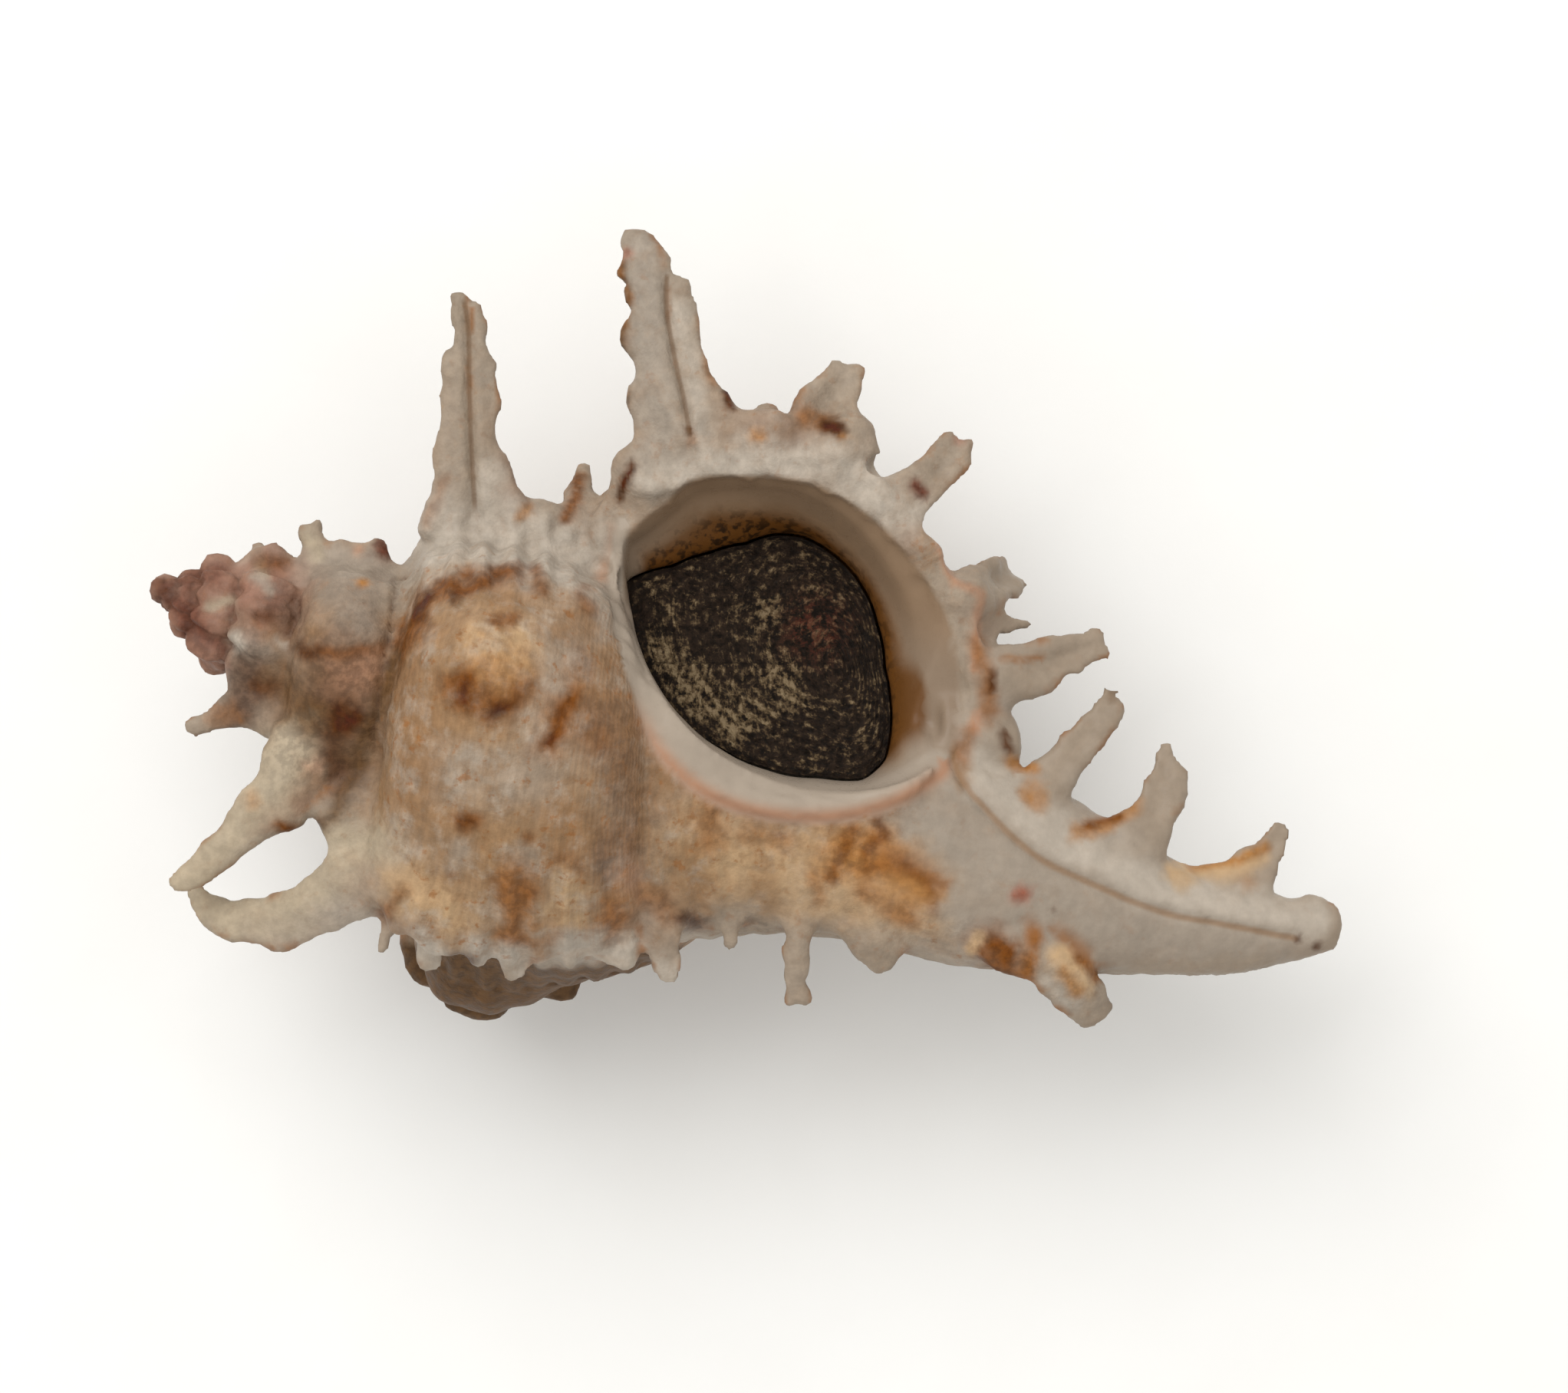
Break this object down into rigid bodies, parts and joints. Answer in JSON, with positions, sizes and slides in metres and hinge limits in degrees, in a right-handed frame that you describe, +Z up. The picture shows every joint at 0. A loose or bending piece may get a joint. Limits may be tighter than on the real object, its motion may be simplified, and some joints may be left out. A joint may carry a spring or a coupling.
{
  "type": "murex shell",
  "caption": "Spiny spiral sea shell lying with its opening up: varices with branching spines, a slit canal, a ringed white mouth and a dark horny lid set inside it.",
  "frame": {"origin": "The middle of the shell's bounding box in plan, on the floor it rests on.", "axes": "+Z up, out of the shell's opening. +X is along the length from the spire towards the end of the canal, +Y towards the side of the outer lip and the long spines."},
  "size_m": [0.0957, 0.0647, 0.0433],
  "materials": {
    "shell": "semi-matt natural shell, cream and white with brown blotches, porcelain-smooth round the opening",
    "operculum": "dark brown horn with fine golden growth lines"
  },
  "bodies": {
    "root": {"shell": "shell", "operculum": "operculum"}
  },
  "joints": []
}
